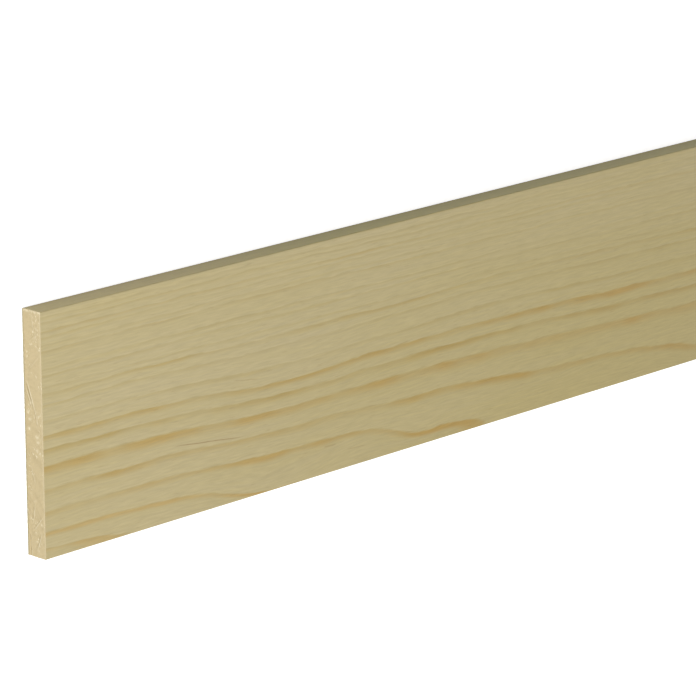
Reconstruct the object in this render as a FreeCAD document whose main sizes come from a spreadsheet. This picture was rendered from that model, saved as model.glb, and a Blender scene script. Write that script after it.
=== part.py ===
# Square-edge softwood skirting board: one planed length, sawn square at both ends.
#
# Frame, in millimetres: the board lies on its wall face. X runs along the length, Y across the width
# towards the edge that shows at the top when the board is fitted, and Z up through the thickness
# towards the room face. The origin is the centre of the wall face.
import FreeCAD, Part
import os
import Sketcher

# alias, millimetres, what it is
DRIVING_SIZES = [
    ("length", 2400.0, "sawn length between the two ends"),
    ("width", 144.0, "height of the board once it is fitted, floor edge to top edge"),
    ("thickness", 15.0, "wall face to room face"),
    ("room_arris", 0.6, "radius of the two long arrises of the room face, eased by the planer"),
    ("wall_arris", 0.4, "radius of the two long arrises of the wall face"),
]
PARTS_FOLDER = "parts"


def make_sheet(doc):
    """The spreadsheet of driving dimensions, one alias to a row."""
    sheet = doc.addObject("Spreadsheet::Sheet", "Sizes")
    for row, (alias, size, note) in enumerate(DRIVING_SIZES, start=1):
        sheet.set(f"A{row}", alias)
        sheet.set(f"B{row}", str(size))
        sheet.set(f"C{row}", note)
        sheet.setAlias(f"B{row}", alias)
    doc.recompute()
    return sheet


def origin_plane(body, role):
    """One of the body's own origin planes."""
    return next(feature for feature in body.Origin.OriginFeatures if feature.Role == role)


def draw_section(body, sheet):
    """The board's section on the YZ plane: a rectangle on the wall face's line, centred across the width."""
    sketch = body.newObject("Sketcher::SketchObject", "Section")
    sketch.AttachmentSupport = [(origin_plane(body, "YZ_Plane"), "")]
    sketch.MapMode = "FlatFace"
    half_width, thickness = float(sheet.width) / 2, float(sheet.thickness)
    section_corners = (
        (-half_width, 0),
        (half_width, 0),
        (half_width, thickness),
        (-half_width, thickness),
    )
    corners = [FreeCAD.Vector(*corner, 0) for corner in section_corners]
    for start, end in zip(corners, corners[1:] + corners[:1]):
        sketch.addGeometry(Part.LineSegment(start, end), False)
    wall_line, top_line, room_line, floor_line = range(4)
    start_point, end_point = 1, 2
    origin = (-1, 1)
    lines = (wall_line, top_line, room_line, floor_line)
    for line, following in zip(lines, lines[1:] + lines[:1]):
        sketch.addConstraint(Sketcher.Constraint("Coincident", line, end_point, following, start_point))
    for direction, line in (
        ("Horizontal", wall_line),
        ("Horizontal", room_line),
        ("Vertical", top_line),
        ("Vertical", floor_line),
    ):
        sketch.addConstraint(Sketcher.Constraint(direction, line))
    sketch.addConstraint(
        Sketcher.Constraint("Symmetric", wall_line, start_point, wall_line, end_point, *origin)
    )
    for name, line, kind in (("width", wall_line, "DistanceX"), ("thickness", top_line, "DistanceY")):
        size = Sketcher.Constraint(kind, line, start_point, line, end_point, float(sheet.get(name)))
        sketch.renameConstraint(sketch.addConstraint(size), name)
        sketch.setExpression(f"Constraints.{name}", f"Sizes.{name}")
    return sketch


def long_edges(shape, height):
    """Names of the two edges that run along X at this height."""
    near = 1e-6
    names = []
    for number, edge in enumerate(shape.Edges, start=1):
        first, last = edge.Vertexes[0].Point, edge.Vertexes[-1].Point
        along_x = abs(last.y - first.y) < near and abs(last.z - first.z) < near
        if along_x and abs(first.z - height) < near:
            names.append(f"Edge{number}")
    return names


def ease_arrises(body, doc, base, name, height, alias):
    """A fillet along the two long arrises at one height, with its radius bound to the sheet."""
    fillet = body.newObject("PartDesign::Fillet", name)
    fillet.Base = (base, long_edges(base.Shape, height))
    fillet.setExpression("Radius", f"Sizes.{alias}")
    doc.recompute()
    return fillet


def make_board(doc, sheet):
    """The whole board: its section padded along the length, half each way, then its arrises eased."""
    body = doc.addObject("PartDesign::Body", "Board")
    body.Label = "skirting_board"
    section = draw_section(body, sheet)
    length_pad = body.newObject("PartDesign::Pad", "Length")
    length_pad.Profile = section
    length_pad.SideType = "Symmetric"
    length_pad.setExpression("Length", "Sizes.length")
    doc.recompute()
    room_side = ease_arrises(body, doc, length_pad, "RoomArrises", float(sheet.thickness), "room_arris")
    ease_arrises(body, doc, room_side, "WallArrises", 0.0, "wall_arris")
    return body


def check(doc, bodies):
    """Stops the build if any object failed or any body isn't one valid solid."""
    for obj in doc.Objects:
        if "Invalid" in obj.State or "Error" in obj.State:
            raise RuntimeError(f"{obj.Name} failed to compute: {obj.State}")
    for body in bodies:
        shape = body.Shape
        if shape.isNull() or not shape.isValid() or len(shape.Solids) != 1:
            raise RuntimeError(f"{body.Label} is not one valid solid")


def main():
    doc = FreeCAD.newDocument("SkirtingBoard")
    sheet = make_sheet(doc)
    bodies = [make_board(doc, sheet)]
    doc.recompute()
    check(doc, bodies)
    os.makedirs(PARTS_FOLDER, exist_ok=True)
    for body in bodies:
        body.Shape.exportStep(os.path.join(PARTS_FOLDER, f"{body.Label}.step"))
        box = body.Shape.BoundBox
        print(f"{body.Label}: {box.XLength:.1f} x {box.YLength:.1f} x {box.ZLength:.1f} mm,"
              f" {body.Shape.Volume / 1e6:.4f} litres")


main()
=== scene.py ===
import math

import bpy
import numpy as np
from mathutils import Matrix, Vector


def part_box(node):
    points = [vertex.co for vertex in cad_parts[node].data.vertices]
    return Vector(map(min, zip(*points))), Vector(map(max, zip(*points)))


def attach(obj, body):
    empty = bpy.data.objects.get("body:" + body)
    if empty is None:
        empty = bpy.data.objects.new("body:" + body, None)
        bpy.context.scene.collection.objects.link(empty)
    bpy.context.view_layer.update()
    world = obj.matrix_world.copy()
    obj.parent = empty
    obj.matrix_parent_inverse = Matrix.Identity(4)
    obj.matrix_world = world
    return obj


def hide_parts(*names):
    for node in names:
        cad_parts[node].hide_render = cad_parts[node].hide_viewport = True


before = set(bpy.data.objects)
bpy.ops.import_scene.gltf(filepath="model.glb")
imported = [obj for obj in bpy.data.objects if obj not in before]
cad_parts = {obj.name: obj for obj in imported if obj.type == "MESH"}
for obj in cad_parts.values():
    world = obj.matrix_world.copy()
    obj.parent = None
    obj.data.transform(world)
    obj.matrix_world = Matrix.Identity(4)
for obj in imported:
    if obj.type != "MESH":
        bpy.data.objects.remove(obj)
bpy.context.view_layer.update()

boardLow, boardHigh = (Vector(corner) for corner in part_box("skirting_board"))
mm = 0.001
boardLength, boardWidth, boardThickness = ((high - low) / mm for high, low in zip(boardHigh, boardLow))


# camera: stands off the near sawn end and looks down along the board

cameraPlace = {
    "aimAlong": 0.2461,  # metres from the near end to the point in the middle of the view
    "aimAcross": 0.0023,  # metres from the middle of the board towards its top edge
    "turn": -20.68,  # degrees from the board's length to the line of sight, seen from above
    "down": 41.88,  # degrees that the line of sight drops below level
    "distance": 2.512,  # metres from the eye to that point
    "roll": -0.30,  # degrees about the line of sight
    "lens": 217.2,  # mm, on a film 36 mm wide
}


def makeCamera(place):
    # eye = aim - distance * sight; right = sight x Y, and up = right x sight, both turned by the roll
    turn, down, roll = (math.radians(place[name]) for name in ("turn", "down", "roll"))
    sight = Vector((math.cos(down) * math.cos(turn), math.cos(down) * math.sin(turn), -math.sin(down)))
    aim = Vector((boardLow.x + place["aimAlong"], place["aimAcross"], boardHigh.z))
    right = sight.cross(Vector((0, 1, 0))).normalized()
    up = right.cross(sight)
    right, up = right * math.cos(roll) + up * math.sin(roll), up * math.cos(roll) - right * math.sin(roll)
    data = bpy.data.cameras.new("viewpoint")
    data.lens, data.sensor_width = place["lens"], 36
    data.clip_start, data.clip_end = 0.05, 60
    camera = bpy.data.objects.new("viewpoint", data)
    bpy.context.scene.collection.objects.link(camera)
    camera.matrix_world = Matrix.Translation(aim - sight * place["distance"]) @ Matrix(
        (right, up, -sight)).transposed().to_4x4()
    bpy.context.scene.camera = camera
    print("camera set", round(place["distance"], 3), "m from the board")


makeCamera(cameraPlace)


class Wire:
    # a node's output that takes part in sums, so a pattern reads as a formula
    def __init__(self, shader, socket):
        self.shader = shader
        self.socket = socket

    def maths(self, operation, *values):
        return self.shader.node("ShaderNodeMath", {"operation": operation}, dict(enumerate(values)))

    def __add__(self, other):
        return self.maths("ADD", self, other)

    def __sub__(self, other):
        return self.maths("SUBTRACT", self, other)

    def __rsub__(self, other):
        return self.maths("SUBTRACT", other, self)

    def __mul__(self, other):
        return self.maths("MULTIPLY", self, other)

    def __truediv__(self, other):
        return self.maths("DIVIDE", self, other)

    def __pow__(self, other):
        return self.maths("POWER", self, other)

    __radd__, __rmul__ = __add__, __mul__

    def to(self, operation):
        return self.maths(operation, self)

    def least(self, other):
        return self.maths("MINIMUM", self, other)

    def most(self, other):
        return self.maths("MAXIMUM", self, other)

    def eased(self, low, high):
        # 0 below low, 1 above high, with a smooth step between
        return self.shader.node(
            "ShaderNodeMapRange",
            {"interpolation_type": "SMOOTHSTEP"},
            {"Value": self, "From Min": low, "From Max": high},
        )


class Shader:
    def __init__(self, tree):
        self.tree = tree
        self.tree.nodes.clear()

    def node(self, kind, settings=None, sockets=None, outputs=(0,)):
        # makes a node: settings first, then the value or the link of each socket
        made = self.tree.nodes.new(kind)
        for name, value in (settings or {}).items():
            if name == "stops":
                self.fillRamp(made.color_ramp, value)
            elif name == "points":
                self.fillCurve(made.mapping, value)
            else:
                setattr(made, name, value)
        for name, value in (sockets or {}).items():
            if isinstance(value, Wire):
                self.tree.links.new(value.socket, made.inputs[name])
            else:
                made.inputs[name].default_value = value
        wires = [Wire(self, made.outputs[name]) for name in outputs] if len(made.outputs) else [None]
        return wires[0] if len(wires) == 1 else wires

    def fillRamp(self, ramp, stops):
        # flat steps: the ramp's own two stops take the first and last places, the rest go between
        ramp.interpolation = "CONSTANT"
        first, last = ramp.elements[0], ramp.elements[1]
        first.position, first.color = stops[0]
        last.position, last.color = stops[-1]
        for position, colour in stops[1:-1]:
            ramp.elements.new(position).color = colour

    def fillCurve(self, mapping, points):
        curve = mapping.curves[0]
        first, last = curve.points[0], curve.points[1]
        first.location, first.handle_type = points[0][:2], points[0][2]
        last.location, last.handle_type = points[-1][:2], points[-1][2]
        for across, up, handle in points[1:-1]:
            curve.points.new(across, up).handle_type = handle
        mapping.update()

    def mixed(self, share, first, second, blend="MIX"):
        return self.node(
            "ShaderNodeMix",
            {"data_type": "RGBA", "blend_type": blend},
            {0: share, 6: first, 7: second},
            (2,),
        )

    def joined(self, x, y, z):
        return self.node("ShaderNodeCombineXYZ", None, {0: x, 1: y, 2: z})

    def cloud(self, place, scale=1.0, detail=2.0, rough=0.5):
        sockets = {"Vector": place, "Scale": scale, "Detail": detail, "Roughness": rough}
        return self.node("ShaderNodeTexNoise", None, sockets, ("Fac",))


def linear(red, green, blue):
    # screen values 0 to 255 to the linear colour that a shader takes
    screen = np.array((red, green, blue)) / 255
    return (*np.where(screen > 0.04045, ((screen + 0.055) / 1.055) ** 2.4, screen / 12.92).tolist(), 1.0)


studio = {
    "floorSize": 30.0,  # metres
    "floorGap": 0.00005,  # metres that the floor lies below the board's wall face
    "floorWhite": 0.66,  # share of the light that it gives back
    "glowNear": 0.81,  # what the camera sees added to the floor beside the board
    "glowFar": 1.0,
    "skyFill": 0.15,  # strength of the even sky
    "keyAim": (0.10, 0.0),  # metres from the near end, and from the middle across
    "keyDistance": 3.2,
    "keyTurn": 196.0,  # degrees round from the board's length
    "keyUp": 35.0,
    "keySize": 2.2,  # metres across
    "keyPower": 128.0,  # watts
    "sideFrom": (-0.20, 0.28, 0.10),  # metres out from the near end, across, and up
    "sideSize": 0.2,
    "sidePower": 0.25,
    "farFrom": (2.5, -0.25, 1.3),  # metres from the middle of the board
    "farAim": (0.9, 0.0, 0.0),
    "farSize": 1.3,
    "farPower": 23.0,
}


def makeFloor(facts):
    # a square under the board; its glow for the camera grows with the distance from the board's line
    half = facts["floorSize"] / 2
    height = boardLow.z - facts["floorGap"]
    data = bpy.data.meshes.new("studioFloor")
    corners = [(-half, -half, height), (half, -half, height), (half, half, height), (-half, half, height)]
    data.from_pydata(corners, [], [(0, 1, 2, 3)])
    floor = bpy.data.objects.new("studioFloor", data)
    bpy.context.scene.collection.objects.link(floor)

    material = bpy.data.materials.new("whitePaper")
    material.use_nodes = True
    shader = Shader(material.node_tree)
    white = (facts["floorWhite"],) * 3 + (1,)
    plain = {"Base Color": white, "Roughness": 0.95, "Specular IOR Level": 0.0}
    lit = shader.node("ShaderNodeBsdfPrincipled", None, plain)
    place = shader.node("ShaderNodeTexCoord", None, None, ("Object",))
    x, y = shader.node("ShaderNodeSeparateXYZ", None, {0: place}, (0, 1))
    beyondEnds = (x.to("ABSOLUTE") - boardHigh.x).most(0.0)
    away = (beyondEnds * beyondEnds + y * y) ** 0.5
    glow = shader.mixed(
        away.eased(0.12, 0.9), (facts["glowNear"],) * 3 + (1,), (facts["glowFar"],) * 3 + (1,))
    seen = shader.node(
        "ShaderNodeBsdfPrincipled", None, {**plain, "Emission Color": glow, "Emission Strength": 1.0})
    camera, glossy = shader.node("ShaderNodeLightPath", None, None, ("Is Camera Ray", "Is Glossy Ray"))
    surface = shader.node("ShaderNodeMixShader", None, {0: camera.most(glossy), 1: lit, 2: seen})
    shader.node("ShaderNodeOutputMaterial", None, {"Surface": surface})
    data.materials.append(material)


def roundLamp(name, aim, offset, size, power):
    # a disc that faces the aim point from aim + offset
    data = bpy.data.lights.new(name, "AREA")
    data.shape, data.size, data.energy = "DISK", size, power
    lamp = bpy.data.objects.new(name, data)
    bpy.context.scene.collection.objects.link(lamp)
    turned = offset.to_track_quat("Z", "Y").to_matrix().to_4x4()
    lamp.matrix_world = Matrix.Translation(aim + offset) @ turned


def makeLight(facts):
    # a wide lamp off the near end, a small one low beside it, one over the far half, and an even sky
    aim = Vector((boardLow.x + facts["keyAim"][0], facts["keyAim"][1], boardHigh.z))
    turn, up = math.radians(facts["keyTurn"]), math.radians(facts["keyUp"])
    away = Vector((math.cos(up) * math.cos(turn), math.cos(up) * math.sin(turn), math.sin(up)))
    roundLamp("keyLamp", aim, away * facts["keyDistance"], facts["keySize"], facts["keyPower"])
    corner = Vector((boardLow.x, boardHigh.y, boardLow.z))
    roundLamp("sideLamp", corner, Vector(facts["sideFrom"]), facts["sideSize"], facts["sidePower"])
    farAim = Vector(facts["farAim"])
    roundLamp("farLamp", farAim, Vector(facts["farFrom"]) - farAim, facts["farSize"], facts["farPower"])

    world = bpy.data.worlds.new("studioSky")
    world.use_nodes = True
    bpy.context.scene.world = world
    shader = Shader(world.node_tree)
    fill = shader.node("ShaderNodeBackground", None, {"Color": (1, 1, 1, 1), "Strength": facts["skyFill"]})
    white = shader.node("ShaderNodeBackground", None, {"Color": (1, 1, 1, 1), "Strength": 1.0})
    camera, glossy = shader.node("ShaderNodeLightPath", None, None, ("Is Camera Ray", "Is Glossy Ray"))
    sky = shader.node("ShaderNodeMixShader", None, {0: camera.most(glossy), 1: fill, 2: white})
    shader.node("ShaderNodeOutputWorld", None, {"Surface": sky})
    bpy.context.scene.view_settings.view_transform = "Standard"


makeFloor(studio)
makeLight(studio)
print("studio set")


# pine: growth rings cut by the board, fibres, resin marks and sawn ends

# (radius of the dark latewood line from the pith, its width, its depth of colour, its warmth), millimetres
growthRings = [
    (31.5, 2.0, 0.60, 0.5), (37.0, 2.0, 0.70, 0.6), (41.5, 1.4, 0.50, 0.4), (44.95, 0.9, 1.00, 1.0),
    (46.8, 1.4, 0.95, 1.0), (52.0, 1.8, 0.90, 0.7), (59.6, 2.2, 0.80, 0.6), (68.9, 3.3, 1.00, 0.75),
    (76.7, 2.1, 0.72, 0.4), (83.3, 2.1, 0.86, 0.6), (91.0, 1.6, 0.32, 0.2), (99.8, 1.4, 0.34, 0.2),
    (105.3, 1.5, 0.60, 0.4), (109.0, 1.1, 0.28, 0.2), (115.3, 1.3, 0.38, 0.2), (119.0, 1.2, 0.36, 0.2),
    (128.3, 1.4, 0.46, 0.4), (131.2, 1.0, 0.26, 0.2), (135.8, 1.2, 0.30, 0.2), (138.6, 1.2, 0.52, 0.4),
    (143.3, 1.2, 0.34, 0.2), (146.2, 1.2, 0.36, 0.2), (151.0, 1.3, 0.40, 0.3), (155.0, 1.2, 0.32, 0.2),
    (160.5, 1.5, 0.50, 0.4), (164.0, 1.1, 0.30, 0.2), (169.0, 1.4, 0.46, 0.4), (173.5, 1.2, 0.34, 0.2),
    (178.5, 1.4, 0.46, 0.4),
]

pine = {
    "pithHeight": 1.0,  # mm from the floor edge to the level of the pith
    "pithDepth": 45.0,  # mm from the room face back to the pith, at the near end
    # mm from the near end, and how much the square of the pith's depth has grown by there
    "pithDrift": [(0, 0), (100, 70), (160, 178), (220, 250), (290, 590), (380, 805), (460, 1080),
                  (565, 1420), (800, 1950), (1100, 2850), (1400, 3300), (1800, 4600), (2100, 5500),
                  (2400, 6800)],
    # mm along, mm up from the floor edge, mm that the grain dips, and the reach along and up
    "swirls": [(195, 60, 5.0, 75, 32), (400, 82, -1.5, 70, 26), (415, 22, 2.6, 55, 14),
               (310, 9, 3.4, 22, 9), (180, 5, 7.5, 42, 11), (264, 17, -2.2, 28, 10),
               (362, 5, -1.0, 32, 10), (582, 8, 5.0, 34, 10),
               (1010, 95, 4.0, 90, 30), (1650, 40, -4.0, 110, 30), (2120, 100, 4.5, 80, 34)],
    # resin marks: from (mm along, mm up) to (mm along, mm up), half width in mm, strength
    "resinMarks": [((98, 44.6), (160, 38.2), 0.5, 0.5), ((148, 74), (172, 70.5), 0.45, 0.22),
                   ((224, 17.2), (236, 16.8), 0.7, 0.25), ((244, 11.4), (262, 10.6), 0.5, 0.22),
                   ((1340, 61), (1372, 58), 0.5, 0.45), ((1866, 32), (1889, 30), 0.6, 0.4)],
    "earlyPale": linear(199, 185, 146),
    "earlyYellow": linear(192, 176, 122),
    "lateOlive": linear(167, 149, 87),
    "lateOrange": linear(193, 156, 84),
    "resinBrown": linear(134, 100, 58),
    "sawnPale": linear(182, 166, 129),
    # sawnDark also gives the painted shade in the tears' grooves
    "sawnDark": linear(130, 112, 75),
    # pale sawn fibre, and painted highlight on the tufts, the tears' lips and the rim
    "paleFibreAndHighlight": linear(212, 202, 172),
    # painted shade: the darker olive of the narrow edges
    "edgeShadeOlive": linear(140, 140, 46),
    "wallArrisShadeGrey": linear(146, 138, 108),  # painted shade on the wall face's arrises and on the ends' wall-side rim
    "roughness": (0.56, 0.44, 0.82),  # earlywood, latewood, sawn end
}


ringSlots = 32  # steps of the curve and the ramp, a few more than there are rings
firstGap = 4  # mm of wood inside the first ring's line


def ringTables(rings):
    # ring n ends at its line's bark side, radius + width / 2, where the curve reaches (n + 1) / slots;
    # the ramp holds its line's depth of colour, the share of the ring that the line takes, and its warmth
    edges = np.array([radius + width / 2 for radius, width, _, _ in rings])
    gaps = np.diff(edges, prepend=edges[0] - firstGap)
    low, high = edges[0] - firstGap, edges[-1]
    points = [(0.0, 0.0, "VECTOR")]
    points += [((edge - low) / (high - low), (n + 1) / ringSlots, "VECTOR") for n, edge in enumerate(edges)]
    stops = []
    for n, (_, width, depth, warmth) in enumerate(rings):
        share = min(1.4 * width / gaps[n], 0.8)
        stops.append((n / ringSlots, (depth, share, warmth, 1)))
    return low, high, points, stops


def grainFlow(shader, facts, along, height, depth):
    # level of the grain = height + short wander + long drift + each swirl's dip * exp(-side^2 - level^2)
    wander = shader.cloud(shader.joined(along / 42, height / 12, depth / 12), 1.0, 3.0)
    drift = shader.cloud(shader.joined(along / 210 + 7, height / 45, depth / 45), 1.0, 1.0)
    risen = height + (wander - 0.5) * 3.4 + (drift - 0.5) * 2.0
    for swirlAlong, swirlHeight, dip, reachAlong, reachHeight in facts["swirls"]:
        side = (along - swirlAlong) / reachAlong
        level = (height - swirlHeight) / reachHeight
        risen = risen + (0 - side * side - level * level).to("EXPONENT") * dip
    return risen, wander


def pithRadius(shader, facts, along, height, depth, risen):
    # behind = square root of (pith depth^2 + drift(along), halved towards the top edge) - depth;
    # radius = square root of (level of the grain - pith height)^2 + behind^2
    span, reach = facts["pithDrift"][-1]
    curve = [(a / span, b / reach, "AUTO") for a, b in facts["pithDrift"]]
    grown = shader.node("ShaderNodeFloatCurve", {"points": curve}, {"Factor": 1.0, "Value": along / span})
    squares = facts["pithDepth"] ** 2 + grown * reach * (1 - height * height * (0.5 / boardWidth ** 2))
    behind = squares ** 0.5 - depth
    return ((risen - facts["pithHeight"]) ** 2 + behind * behind) ** 0.5


def ringLines(shader, rings, radius, along, depth, slope):
    # ring number = curve(radius); its fraction runs from 0 at the pith side to 1 at the bark side.
    # the line rises over the last share of the ring and drops at its end; its strength varies along it
    low, high, points, stops = ringTables(rings)
    number = shader.node("ShaderNodeFloatCurve", {"points": points}, {
        "Factor": 1.0, "Value": (radius - low) / (high - low)}) * ringSlots
    whole = number.to("FLOOR")
    part = number - whole
    perRing = shader.node("ShaderNodeValToRGB", {"stops": stops}, {0: (whole + 0.5) / ringSlots})
    strength, share, warmth = shader.node("ShaderNodeSeparateColor", None, {0: perRing}, (0, 1, 2))
    lineChange = shader.cloud(shader.joined(along / 75, whole * 5.37, depth / 60), 1.0, 2.0, 0.6)
    swell = shader.cloud(shader.joined(along / 140 + 40, whole * 3.71, depth / 60), 1.0, 1.0)
    share = share * slope ** 0.8 * (0.60 + swell * 0.80)
    rise = part.eased(1 - share * 1.5, 1 - share * 0.28) ** 1.4
    fall = part.eased(1 - share * 0.22, 1.0)
    line = rise * (1 - fall) * strength * (0.40 + lineChange.eased(0.34, 0.66) * 0.90)
    return line.least(1.0), part * strength, warmth * (0.45 + lineChange)


def resinCanals(shader, along, height, depth):
    # cells drawn out along the grain; about a third of them have a dark middle
    cell = shader.joined(along / 15, height / 1.4, depth / 1.4)
    near, cellColour = shader.node(
        "ShaderNodeTexVoronoi", None, {"Vector": cell, "Scale": 1.0}, ("Distance", "Color"))
    chance = shader.node("ShaderNodeSeparateColor", None, {0: cellColour})
    return (1 - near.eased(0.10, 0.22)) * chance.eased(0.62, 0.66)


def resinLines(facts, along, height, wander):
    # each mark is full on the line from its start to its end, and gone at its half width and past its ends
    resin = None
    for (startAlong, startHeight), (endAlong, endHeight), halfWidth, power in facts["resinMarks"]:
        middle, half = (startAlong + endAlong) / 2, (endAlong - startAlong) / 2
        tilt = (endHeight - startHeight) / (endAlong - startAlong)
        off = ((height + (wander - 0.5) * 1.2 - startHeight) - (along - startAlong) * tilt).to("ABSOLUTE")
        run = ((along - middle) / half).to("ABSOLUTE")
        mark = (1 - (off / halfWidth).eased(0.25, 1.0)) * (1 - run.eased(0.55, 1.0)) * power
        resin = mark if resin is None else resin.most(mark)
    return resin


def sawnWood(shader, facts, along, height, depth, line, tearShade, tuftsAndHighlights):
    # pale end wood, darkened by ring lines, pores and dark flecks, with painted shade in the torn grooves;
    # lightened by pale flecks, by paler tufts with painted highlight, and by painted highlight on the
    # tears' lips and the rim; the relief is the pores' and the tear's own clouds, in mm
    pores = shader.cloud(shader.joined(along / 3, height / 0.42, depth / 0.42), 1.0, 2.0, 0.7)
    roughSpots = shader.cloud(shader.joined(along / 300, height / 13, depth / 9), 1.0, 1.0)
    roughSpots = roughSpots.eased(0.46, 0.60)
    onSlant, offSlant = (height * 0.9 + depth * 0.45) / 2.6, (depth * 0.9 - height * 0.45) / 0.9
    flecks = shader.cloud(shader.joined(along / 5, onSlant, offSlant), 1.0, 2.0, 0.6)
    brightFlecks = flecks.eased(0.57, 0.70) * roughSpots
    darkFlecks = (1 - flecks.eased(0.30, 0.43)) * roughSpots
    fringe = 1 - (143.4 - height).eased(0.0, 1.6)  # loose fibre on the top arris
    # painted highlight along the end's rim by the room face, and pale loose fibre on the top arris
    rimHighlightAndFibre = (1 - depth.eased(0.5, 1.9)) * 0.18 + fringe * flecks.eased(0.42, 0.6) * 0.8
    tear = shader.cloud(shader.joined(along / 9, height / 6 + depth / 9, depth / 1.6), 1.0, 3.0, 0.6)
    darkShare = line * 0.14 + pores.eased(0.52, 0.8) * 0.30 + (tear - 0.5).most(0.0) * 0.8
    # the tears' grooves take painted shade
    darkShare = darkShare + tearShade * 0.8 + darkFlecks * 0.25
    colour = shader.mixed(darkShare.least(1.0), facts["sawnPale"], facts["sawnDark"])
    # painted highlight on the tufts, the tears' lips and the rim, with the pale flecks
    colour = shader.mixed(tuftsAndHighlights.most(brightFlecks).most(rimHighlightAndFibre), colour, facts["paleFibreAndHighlight"])
    return colour, pores * 0.10 + tear * 0.16


def pineSurface(shader, facts, rings):
    place = shader.node("ShaderNodeTexCoord", None, None, ("Object",))
    x, y, z = shader.node("ShaderNodeSeparateXYZ", None, {0: place}, (0, 1, 2))
    along = x * 1000 - boardLow.x * 1000  # mm from the near end
    height = y * 1000 - boardLow.y * 1000  # mm from the floor edge
    depth = boardHigh.z * 1000 - z * 1000  # mm below the room face
    risen, wander = grainFlow(shader, facts, along, height, depth)
    radius = pithRadius(shader, facts, along, height, depth, risen)

    # fibres: thin threads and short dashes along the grain, longer soft veins; they fray the ring lines
    threads = shader.cloud(shader.joined(along / 26, height / 0.5, depth / 0.5), 1.0, 3.0, 0.65)
    dashes = shader.cloud(shader.joined(along / 14 + 3, risen / 1.15, depth / 1.15), 1.0, 2.0, 0.55)
    veins = shader.cloud(shader.joined(along / 130, risen / 2.1, depth / 2.1), 1.0, 3.0, 0.6)
    slope = ((risen - facts["pithHeight"]) / radius * 1.35).most(0.12).least(1.0)
    radius = radius + ((threads - 0.5) * 0.8 + (dashes - 0.5) * 1.4) * slope
    line, lateness, warmth = ringLines(shader, rings, radius, along, depth, slope)

    canal = resinCanals(shader, along, height, depth)
    onFace = 1 - depth.eased(2.0, 3.5)
    resin = resinLines(facts, along, height, wander) * onFace * (0.4 + threads * 1.2)

    # the mesh says which faces are sawn, how much painted shade a spot takes in a tear's groove, how much
    # painted highlight it takes on a tear's lip and a paler tuft, and how far it faces sideways
    sawn = shader.node("ShaderNodeAttribute", {"attribute_name": "sawnEnd"}, None, ("Fac",))
    spots = shader.node("ShaderNodeAttribute", {"attribute_name": "spotMarks"}, None, ("Vector",))
    tearShade, tuftsAndHighlights, edgewise = shader.node("ShaderNodeSeparateXYZ", None, {0: spots}, (0, 1, 2))
    # the narrow long faces, which take painted shade below
    edge = edgewise.eased(0.40, 0.85) * (1 - sawn)

    # earlywood turns yellower along the board and in slow patches; the narrow edges are painted darker and
    # yellower, as shade
    patches = shader.cloud(shader.joined(along / 160 + 11, height / 34, depth / 34), 1.0, 2.0)
    yellow = patches * 0.5 + veins * 0.7 - 0.22 + along.eased(60, 560) * (0.75 - height * 0.0035)
    yellow = yellow + edge * 0.9
    early = shader.mixed(yellow.most(0.0).least(1.4), facts["earlyPale"], facts["earlyYellow"])
    late = shader.mixed(warmth, facts["lateOlive"], facts["lateOrange"])

    # lines gain strength along the board, but lose it high up far along and low down by the near end
    full = 0.80 + along.eased(150, 500) * 0.40 - height.eased(70, 120) * 0.16
    full = full - height.eased(85, 110) * along.eased(230, 480) * 0.60
    full = full - (1 - along.eased(60, 190)) * (1 - height.eased(27, 40)) * 0.28
    wood = shader.mixed((line * full).least(1.0), early, late)
    wood = shader.mixed(lateness * 0.16, wood, facts["lateOlive"])
    wood = shader.mixed(canal * 0.16, wood, facts["resinBrown"])
    wood = shader.mixed(resin.least(1.0), wood, facts["resinBrown"])
    streak = (threads - 0.5) * 0.16 + (veins - 0.5) * 0.12 + (dashes - 0.5) * 0.31 + 1.0
    wood = shader.mixed(1.0, wood, shader.joined(streak, streak, streak), "MULTIPLY")
    # painted shade: the narrow edges darkened towards olive, from a little way along the board
    wood = shader.mixed(edge * along.eased(90, 260) * 0.33, wood, facts["edgeShadeOlive"])

    endWood, sawnRelief = sawnWood(shader, facts, along, height, depth, line, tearShade, tuftsAndHighlights)
    colour = shader.mixed(sawn, wood, endWood)
    # painted shade along the wall face's arrises, on the sawn ends and on the narrow edges
    wallArrisShade = depth.eased(13.3, 14.7) * (sawn * 0.75 + edge * (0.35 + dashes * 0.5)).least(1.0)
    colour = shader.mixed(wallArrisShade, colour, facts["wallArrisShadeGrey"])

    # planer ripple every 1.9 mm along, with proud latewood and fibres
    ripple = (along * (2 * math.pi / 1.9) + wander * 3).to("SINE")
    planed = line * 0.012 + threads * 0.018 + ripple * 0.0022 - canal * 0.02 - resin * 0.02
    relief = planed * (1 - sawn) + sawnRelief * sawn
    normal = shader.node("ShaderNodeBump", None, {"Strength": 1.0, "Distance": mm, "Height": relief})
    dull, shiny, rough = facts["roughness"]
    roughness = (dull + (threads - 0.5) * 0.12 - line * (dull - shiny)) * (1 - sawn) + sawn * rough
    return colour, roughness, normal


def makePine(facts, rings):
    material = bpy.data.materials.new("planedPine")
    material.use_nodes = True
    shader = Shader(material.node_tree)
    colour, roughness, normal = pineSurface(shader, facts, rings)
    surface = shader.node("ShaderNodeBsdfPrincipled", None, {
        "Base Color": colour, "Roughness": roughness, "Normal": normal, "Specular IOR Level": 0.35})
    shader.node("ShaderNodeOutputMaterial", None, {"Surface": surface})
    print("pine made with", len(rings), "growth rings")
    return material


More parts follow.
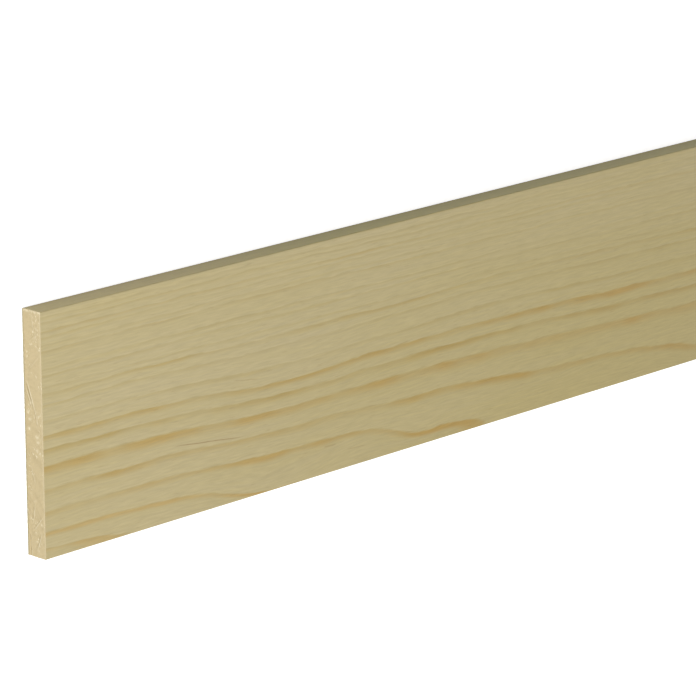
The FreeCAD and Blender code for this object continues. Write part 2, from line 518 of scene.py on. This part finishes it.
board = {
    "roomArris": 0.6,  # mm, eased long edges of the room face
    "wallArris": 0.4,  # mm, and of the wall face
    "arrisSteps": 4,  # short cells through each arris
    "cellAcross": 0.5,  # mm between grid lines across the width
    "cellThrough": 0.36,  # mm through the thickness
    "stations": 78,  # rings of points along the length
    "endCells": (0.5, 1.3, 3.0, 7.0, 15.0),  # mm from each sawn end to the first rings
    "arrisWaver": 0.05,  # mm that the planed long edges wander in and out
    "sawDepth": 0.16,  # mm between the high and low sawn strokes
    # torn strokes on an end: from (mm up, mm below the room face) to the same, half width and depth in mm
    "tears": [((100.5, 12.9), (87.0, 8.0), 0.60, 0.50), ((88.0, 7.6), (78.0, 4.8), 0.40, 0.20),
              ((97.0, 13.6), (87.5, 9.6), 0.40, 0.25),
              ((141.0, 8.5), (127.0, 5.0), 0.35, 0.12), ((137.0, 3.0), (126.0, 6.5), 0.35, 0.10),
              ((133.0, 1.6), (126.5, 9.5), 0.35, 0.10), ((118.0, 3.0), (110.0, 11.0), 0.40, 0.07),
              ((52.0, 11.0), (44.0, 8.5), 0.40, 0.18), ((30.0, 9.0), (21.0, 10.5), 0.40, 0.25),
              ((24.0, 3.0), (17.0, 9.0), 0.35, 0.22), ((14.0, 4.0), (6.0, 7.0), 0.40, 0.25),
              ((12.5, 12.8), (-1.0, 12.2), 0.30, 0.70)],
    # tufts of loose fibre on an end, paler and with painted highlight: (mm up, mm below the room face),
    # reach in mm, how bright
    "tufts": [((84.5, 12.0), 0.9, 0.8), ((83.0, 3.5), 0.8, 0.6), ((80.5, 10.6), 1.0, 0.7),
              ((75.0, 11.3), 1.0, 0.9), ((71.0, 5.0), 1.3, 0.7), ((68.0, 4.4), 1.0, 0.8),
              ((63.0, 5.2), 0.9, 0.9), ((61.5, 3.2), 0.7, 0.6), ((90.0, 10.0), 0.9, 0.6),
              ((129.0, 4.6), 0.9, 0.5), ((124.0, 9.0), 0.8, 0.4), ((33.0, 8.0), 0.8, 0.4),
              ((20.0, 2.6), 1.0, 0.6), ((4.0, 6.0), 0.9, 0.5)],
    "sidesShare": 0.88,  # of the flat map's height that the long faces take
    "stripGap": 0.012,  # left clear under each end's strip
    "seed": 41,  # of the saw's and the planer's waves
}


def gridLines(size, arrisLow, arrisHigh, cell, steps):
    # even cells between the two arrises, and a few short cells inside each arris
    count = int(round((size - arrisLow - arrisHigh) / cell))
    middle = np.linspace(arrisLow, size - arrisHigh, count + 1)
    first = np.linspace(0, arrisLow, steps + 1)[:-1]
    last = np.linspace(size - arrisHigh, size, steps + 1)[1:]
    return np.concatenate([first, middle, last])


def easeCorners(across, through, width, thickness, facts):
    # near a corner a point moves towards the arc's centre by max(a, b) / hypot(a, b),
    # which turns the square corner into a quarter circle
    for top in (False, True):
        for room in (False, True):
            radius = facts["roomArris"] if room else facts["wallArris"]
            centreAcross = width - radius if top else radius
            centreThrough = thickness - radius if room else radius
            a = np.clip((across - centreAcross) * (1 if top else -1) / radius, 0, None)
            b = np.clip((through - centreThrough) * (1 if room else -1) / radius, 0, None)
            inside = (a > 0) & (b > 0)
            shrink = np.where(inside, np.maximum(a, b) / np.maximum(np.hypot(a, b), 1e-9), 1.0)
            across = np.where(inside, centreAcross + (across - centreAcross) * shrink, across)
            through = np.where(inside, centreThrough + (through - centreThrough) * shrink, through)
    return across, through


def waves(first, second, seed, longest, shortest, count):
    # sum of seeded sine waves with random headings, phases and lengths, scaled to about -1 to 1
    random = np.random.default_rng(seed)
    total = np.zeros(np.broadcast(first, second).shape)
    for length, heading, phase in zip(
        np.geomspace(longest, shortest, count),
        random.uniform(0, 2 * math.pi, count),
        random.uniform(0, 2 * math.pi, count),
    ):
        travel = first * math.cos(heading) + second * math.sin(heading)
        total = total + np.sin(travel * (2 * math.pi / length) + phase)
    return total / math.sqrt(count) / 1.4


def sawnHollow(across, through, facts, seed, mirrored):
    # depth cut below the end plane = saw strokes on a slant + waves + each tear's groove - each tuft;
    # painted shade in each tear's groove, and painted highlight on its pale lip on one side and on the
    # paler tufts: bells of its distance from the tears, their lips and the tufts
    below = boardThickness - through
    slant = across * 0.92 + below * 0.4
    stroke = np.sin(slant * (2 * math.pi / 2.7) + waves(across, below, seed, 40, 6, 8) * 2.2)
    rough = waves(across, below, seed + 1, 9, 1.1, 26)
    hollow = facts["sawDepth"] * (0.5 + 0.22 * stroke + 0.28 * np.clip(rough, -1.5, 1.5))
    tearShade, tuftsAndHighlights = np.zeros(across.shape), np.zeros(across.shape)
    for start, end, halfWidth, deep in facts["tears"]:
        start, end = np.array(start), np.array(end)
        if mirrored:
            start[0], end[0] = boardWidth - start[0], boardWidth - end[0]
        run = end - start
        share = np.clip(((across - start[0]) * run[0] + (below - start[1]) * run[1]) / (run @ run), 0, 1)
        beside = ((below - start[1]) * run[0] - (across - start[0]) * run[1]) / math.hypot(*run)
        away = np.hypot(across - start[0] - share * run[0], below - start[1] - share * run[1])
        away = away + 0.12 * waves(across, below, seed + 2, 5, 1.2, 10)
        fade = np.sin(math.pi * np.clip(share * 0.9 + 0.05, 0, 1)) ** 0.5
        groove = fade * np.exp(-np.clip(away, 0, None) ** 2 / halfWidth ** 2)
        hollow = hollow + deep * groove
        # painted shade in the groove
        tearShade = np.maximum(tearShade, groove * min(1, deep * 2.6))
        # painted highlight: a pale lip on one side of the tear
        lip = np.exp(-((beside / halfWidth - 1.8) / 0.8) ** 2 - (away / halfWidth / 4) ** 4)
        tuftsAndHighlights = np.maximum(tuftsAndHighlights, fade * lip * min(1, deep * 3.0))
    for (up, down), reach, bright in facts["tufts"]:
        up = boardWidth - up if mirrored else up
        away = np.hypot(across - up, (below - down) * 0.8)
        away = away + 0.45 * waves(across, below, seed + 3, 3, 0.9, 12)
        tuft = np.exp(-np.clip(away, 0, None) ** 2 / (reach * 0.75) ** 2)
        hollow = hollow - 0.10 * tuft
        tuftsAndHighlights = np.maximum(tuftsAndHighlights, tuft * bright)
    marks = np.stack([tearShade, tuftsAndHighlights, np.zeros(across.shape)], axis=-1)
    return np.clip(hollow, 0, None), marks


def boardPoints(facts):
    # each end is a grid (i across, j through), pushed in by the saw's hollow;
    # the border of that grid is carried along the length as rings, pulled in a little at the arrises
    length, width, thickness = boardLength, boardWidth, boardThickness
    lines = gridLines(
        width, facts["roomArris"], facts["roomArris"], facts["cellAcross"], facts["arrisSteps"])
    layers = gridLines(
        thickness, facts["wallArris"], facts["roomArris"], facts["cellThrough"], facts["arrisSteps"])
    across, through = np.meshgrid(lines, layers, indexing="ij")
    across, through = easeCorners(across, through, width, thickness, facts)

    rows, columns = across.shape
    i = np.concatenate([np.arange(rows - 1), np.full(columns - 1, rows - 1),
                        np.arange(rows - 1, 0, -1), np.zeros(columns - 1, int)])
    j = np.concatenate([np.zeros(rows - 1, int), np.arange(columns - 1),
                        np.full(rows - 1, columns - 1), np.arange(columns - 1, 0, -1)])

    near, nearMarks = sawnHollow(across, through, facts, facts["seed"], False)
    far, farMarks = sawnHollow(across, through, facts, facts["seed"] + 10, True)
    far = length - far
    inner = np.array(facts["endCells"])
    middle = np.linspace(inner[-1], length - inner[-1], facts["stations"] - 2 * len(inner))[1:-1]
    stations = np.concatenate([inner, middle, length - inner[::-1]])

    ringAcross = across[i, j] - width / 2
    ringThrough = through[i, j] - thickness / 2
    aroundRing = np.arange(1.0, len(i) + 1)[None] * 0.35
    waver = waves(stations[:, None], aroundRing, facts["seed"] + 20, 300, 24, 14)
    cornerness = (np.abs(ringAcross) / (width / 2)) ** 60 * (np.abs(ringThrough) / (thickness / 2)) ** 8
    pull = 1 - facts["arrisWaver"] * (0.5 + 0.5 * waver) * cornerness
    rings = np.stack([
        np.broadcast_to(stations[:, None], pull.shape),
        (ringAcross * (1 - (1 - pull) * 2 / width)) + width / 2,
        ringThrough * (1 - (1 - pull) * 2 / thickness) + thickness / 2,
    ], axis=-1)

    nearCap = np.stack([near, across, through], axis=-1).reshape(-1, 3)
    farCap = np.stack([far, across, through], axis=-1).reshape(-1, 3)
    points = np.concatenate([nearCap, rings.reshape(-1, 3), farCap])

    # how far each border point faces across the width: the rise of the border's own direction there
    ring = np.stack([across[i, j], through[i, j]], axis=-1)
    turned = np.roll(ring, -1, axis=0) - np.roll(ring, 1, axis=0)
    edgewise = np.abs(turned[:, 1]) / np.linalg.norm(turned, axis=1)
    nearMarks[i, j, 2] = edgewise
    farMarks[i, j, 2] = edgewise
    ringMarks = np.zeros((len(stations), len(i), 3))
    ringMarks[:, :, 2] = edgewise
    marks = np.concatenate([part.reshape(-1, 3) for part in (nearMarks, ringMarks, farMarks)])

    # every ring's own point numbers; the first and last rings are the borders of the two ends
    border = i * columns + j
    start = rows * columns
    between = start + np.arange(len(stations) * len(i)).reshape(len(stations), len(i))
    farStart = start + between.size
    loops = np.concatenate([border[None], between, farStart + border[None]])
    onward = np.roll(loops, -1, axis=1)
    sides = np.stack([loops[:-1], onward[:-1], onward[1:], loops[1:]], axis=-1).reshape(-1, 4)
    cells = np.arange(rows * columns).reshape(rows, columns)
    cap = np.stack([cells[:-1, :-1], cells[:-1, 1:], cells[1:, 1:], cells[1:, :-1]], axis=-1).reshape(-1, 4)
    faces = np.concatenate([cap, sides[:, ::-1], cap[:, ::-1] + farStart])
    sawn = np.concatenate([np.ones(len(cap)), np.zeros(len(sides)), np.ones(len(cap))])
    place = points * mm + np.array(boardLow)

    # flat map: the long faces side by side over most of it, and the two ends in strips above them
    steps = np.linalg.norm(np.roll(ring, -1, axis=0) - ring, axis=1)
    girth = np.concatenate([[0], np.cumsum(steps)]) / steps.sum() * facts["sidesShare"]
    run = np.concatenate([[0], stations / length, [1]])
    corners = ((1, 0), (1, 1), (0, 1), (0, 0))
    sidesFlat = np.stack([
        np.stack(np.broadcast_arrays(run[s:len(run) - 1 + s, None], girth[None, k:len(i) + k]), axis=-1)
        for s, k in corners], axis=2).reshape(-1, 4, 2)
    strip = (1 - facts["sidesShare"]) / 2 - facts["stripGap"]
    capFlat = np.stack([across / width, through / thickness * strip], axis=-1).reshape(-1, 2)
    nearFlat = capFlat[cap] + (0, facts["sidesShare"] + facts["stripGap"])
    farFlat = capFlat[cap[:, ::-1]] + (0, 1 - strip)
    flat = np.concatenate([nearFlat, sidesFlat, farFlat])
    return place, faces, marks, sawn, np.concatenate([border, farStart + border]), flat


def meshPiece(name, points, faces, marks, sawn, rim, flat, material):
    # faces are rows of four point numbers; marks go to the points, sawn to the faces, flat to their corners
    data = bpy.data.meshes.new(name)
    data.vertices.add(len(points))
    data.vertices.foreach_set("co", points.astype(np.float32).ravel())
    data.loops.add(faces.size)
    data.loops.foreach_set("vertex_index", faces.astype(np.int32).ravel())
    data.polygons.add(len(faces))
    data.polygons.foreach_set("loop_start", (np.arange(len(faces)) * 4).astype(np.int32))
    data.polygons.foreach_set("loop_total", np.full(len(faces), 4, np.int32))
    data.polygons.foreach_set("use_smooth", np.ones(len(faces), bool))
    data.update(calc_edges=True)
    data.validate()
    data.attributes.new("spotMarks", "FLOAT_VECTOR", "POINT").data.foreach_set(
        "vector", marks.astype(np.float32).ravel())
    data.attributes.new("sawnEnd", "FLOAT", "FACE").data.foreach_set("value", sawn.astype(np.float32))
    data.uv_layers.new(name="OFBake").data.foreach_set("uv", flat.astype(np.float32).ravel())
    # the rim of each sawn end is a crisp edge
    onRim = np.zeros(len(points), bool)
    onRim[rim] = True
    pairs = np.empty(len(data.edges) * 2, np.int32)
    data.edges.foreach_get("vertices", pairs)
    data.edges.foreach_set("use_edge_sharp", onRim[pairs.reshape(-1, 2)].all(axis=1))
    data.materials.append(material)
    piece = bpy.data.objects.new(name, data)
    bpy.context.scene.collection.objects.link(piece)
    return piece


def makeBoard(facts, material):
    points, faces, marks, sawn, rim, flat = boardPoints(facts)
    piece = meshPiece("skirtingBoard", points, faces, marks, sawn, rim, flat, material)
    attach(piece, "root")
    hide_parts("skirting_board")
    print("board made with", len(points), "points and", len(faces) * 2, "triangles")
    return piece


makeBoard(board, makePine(pine, growthRings))
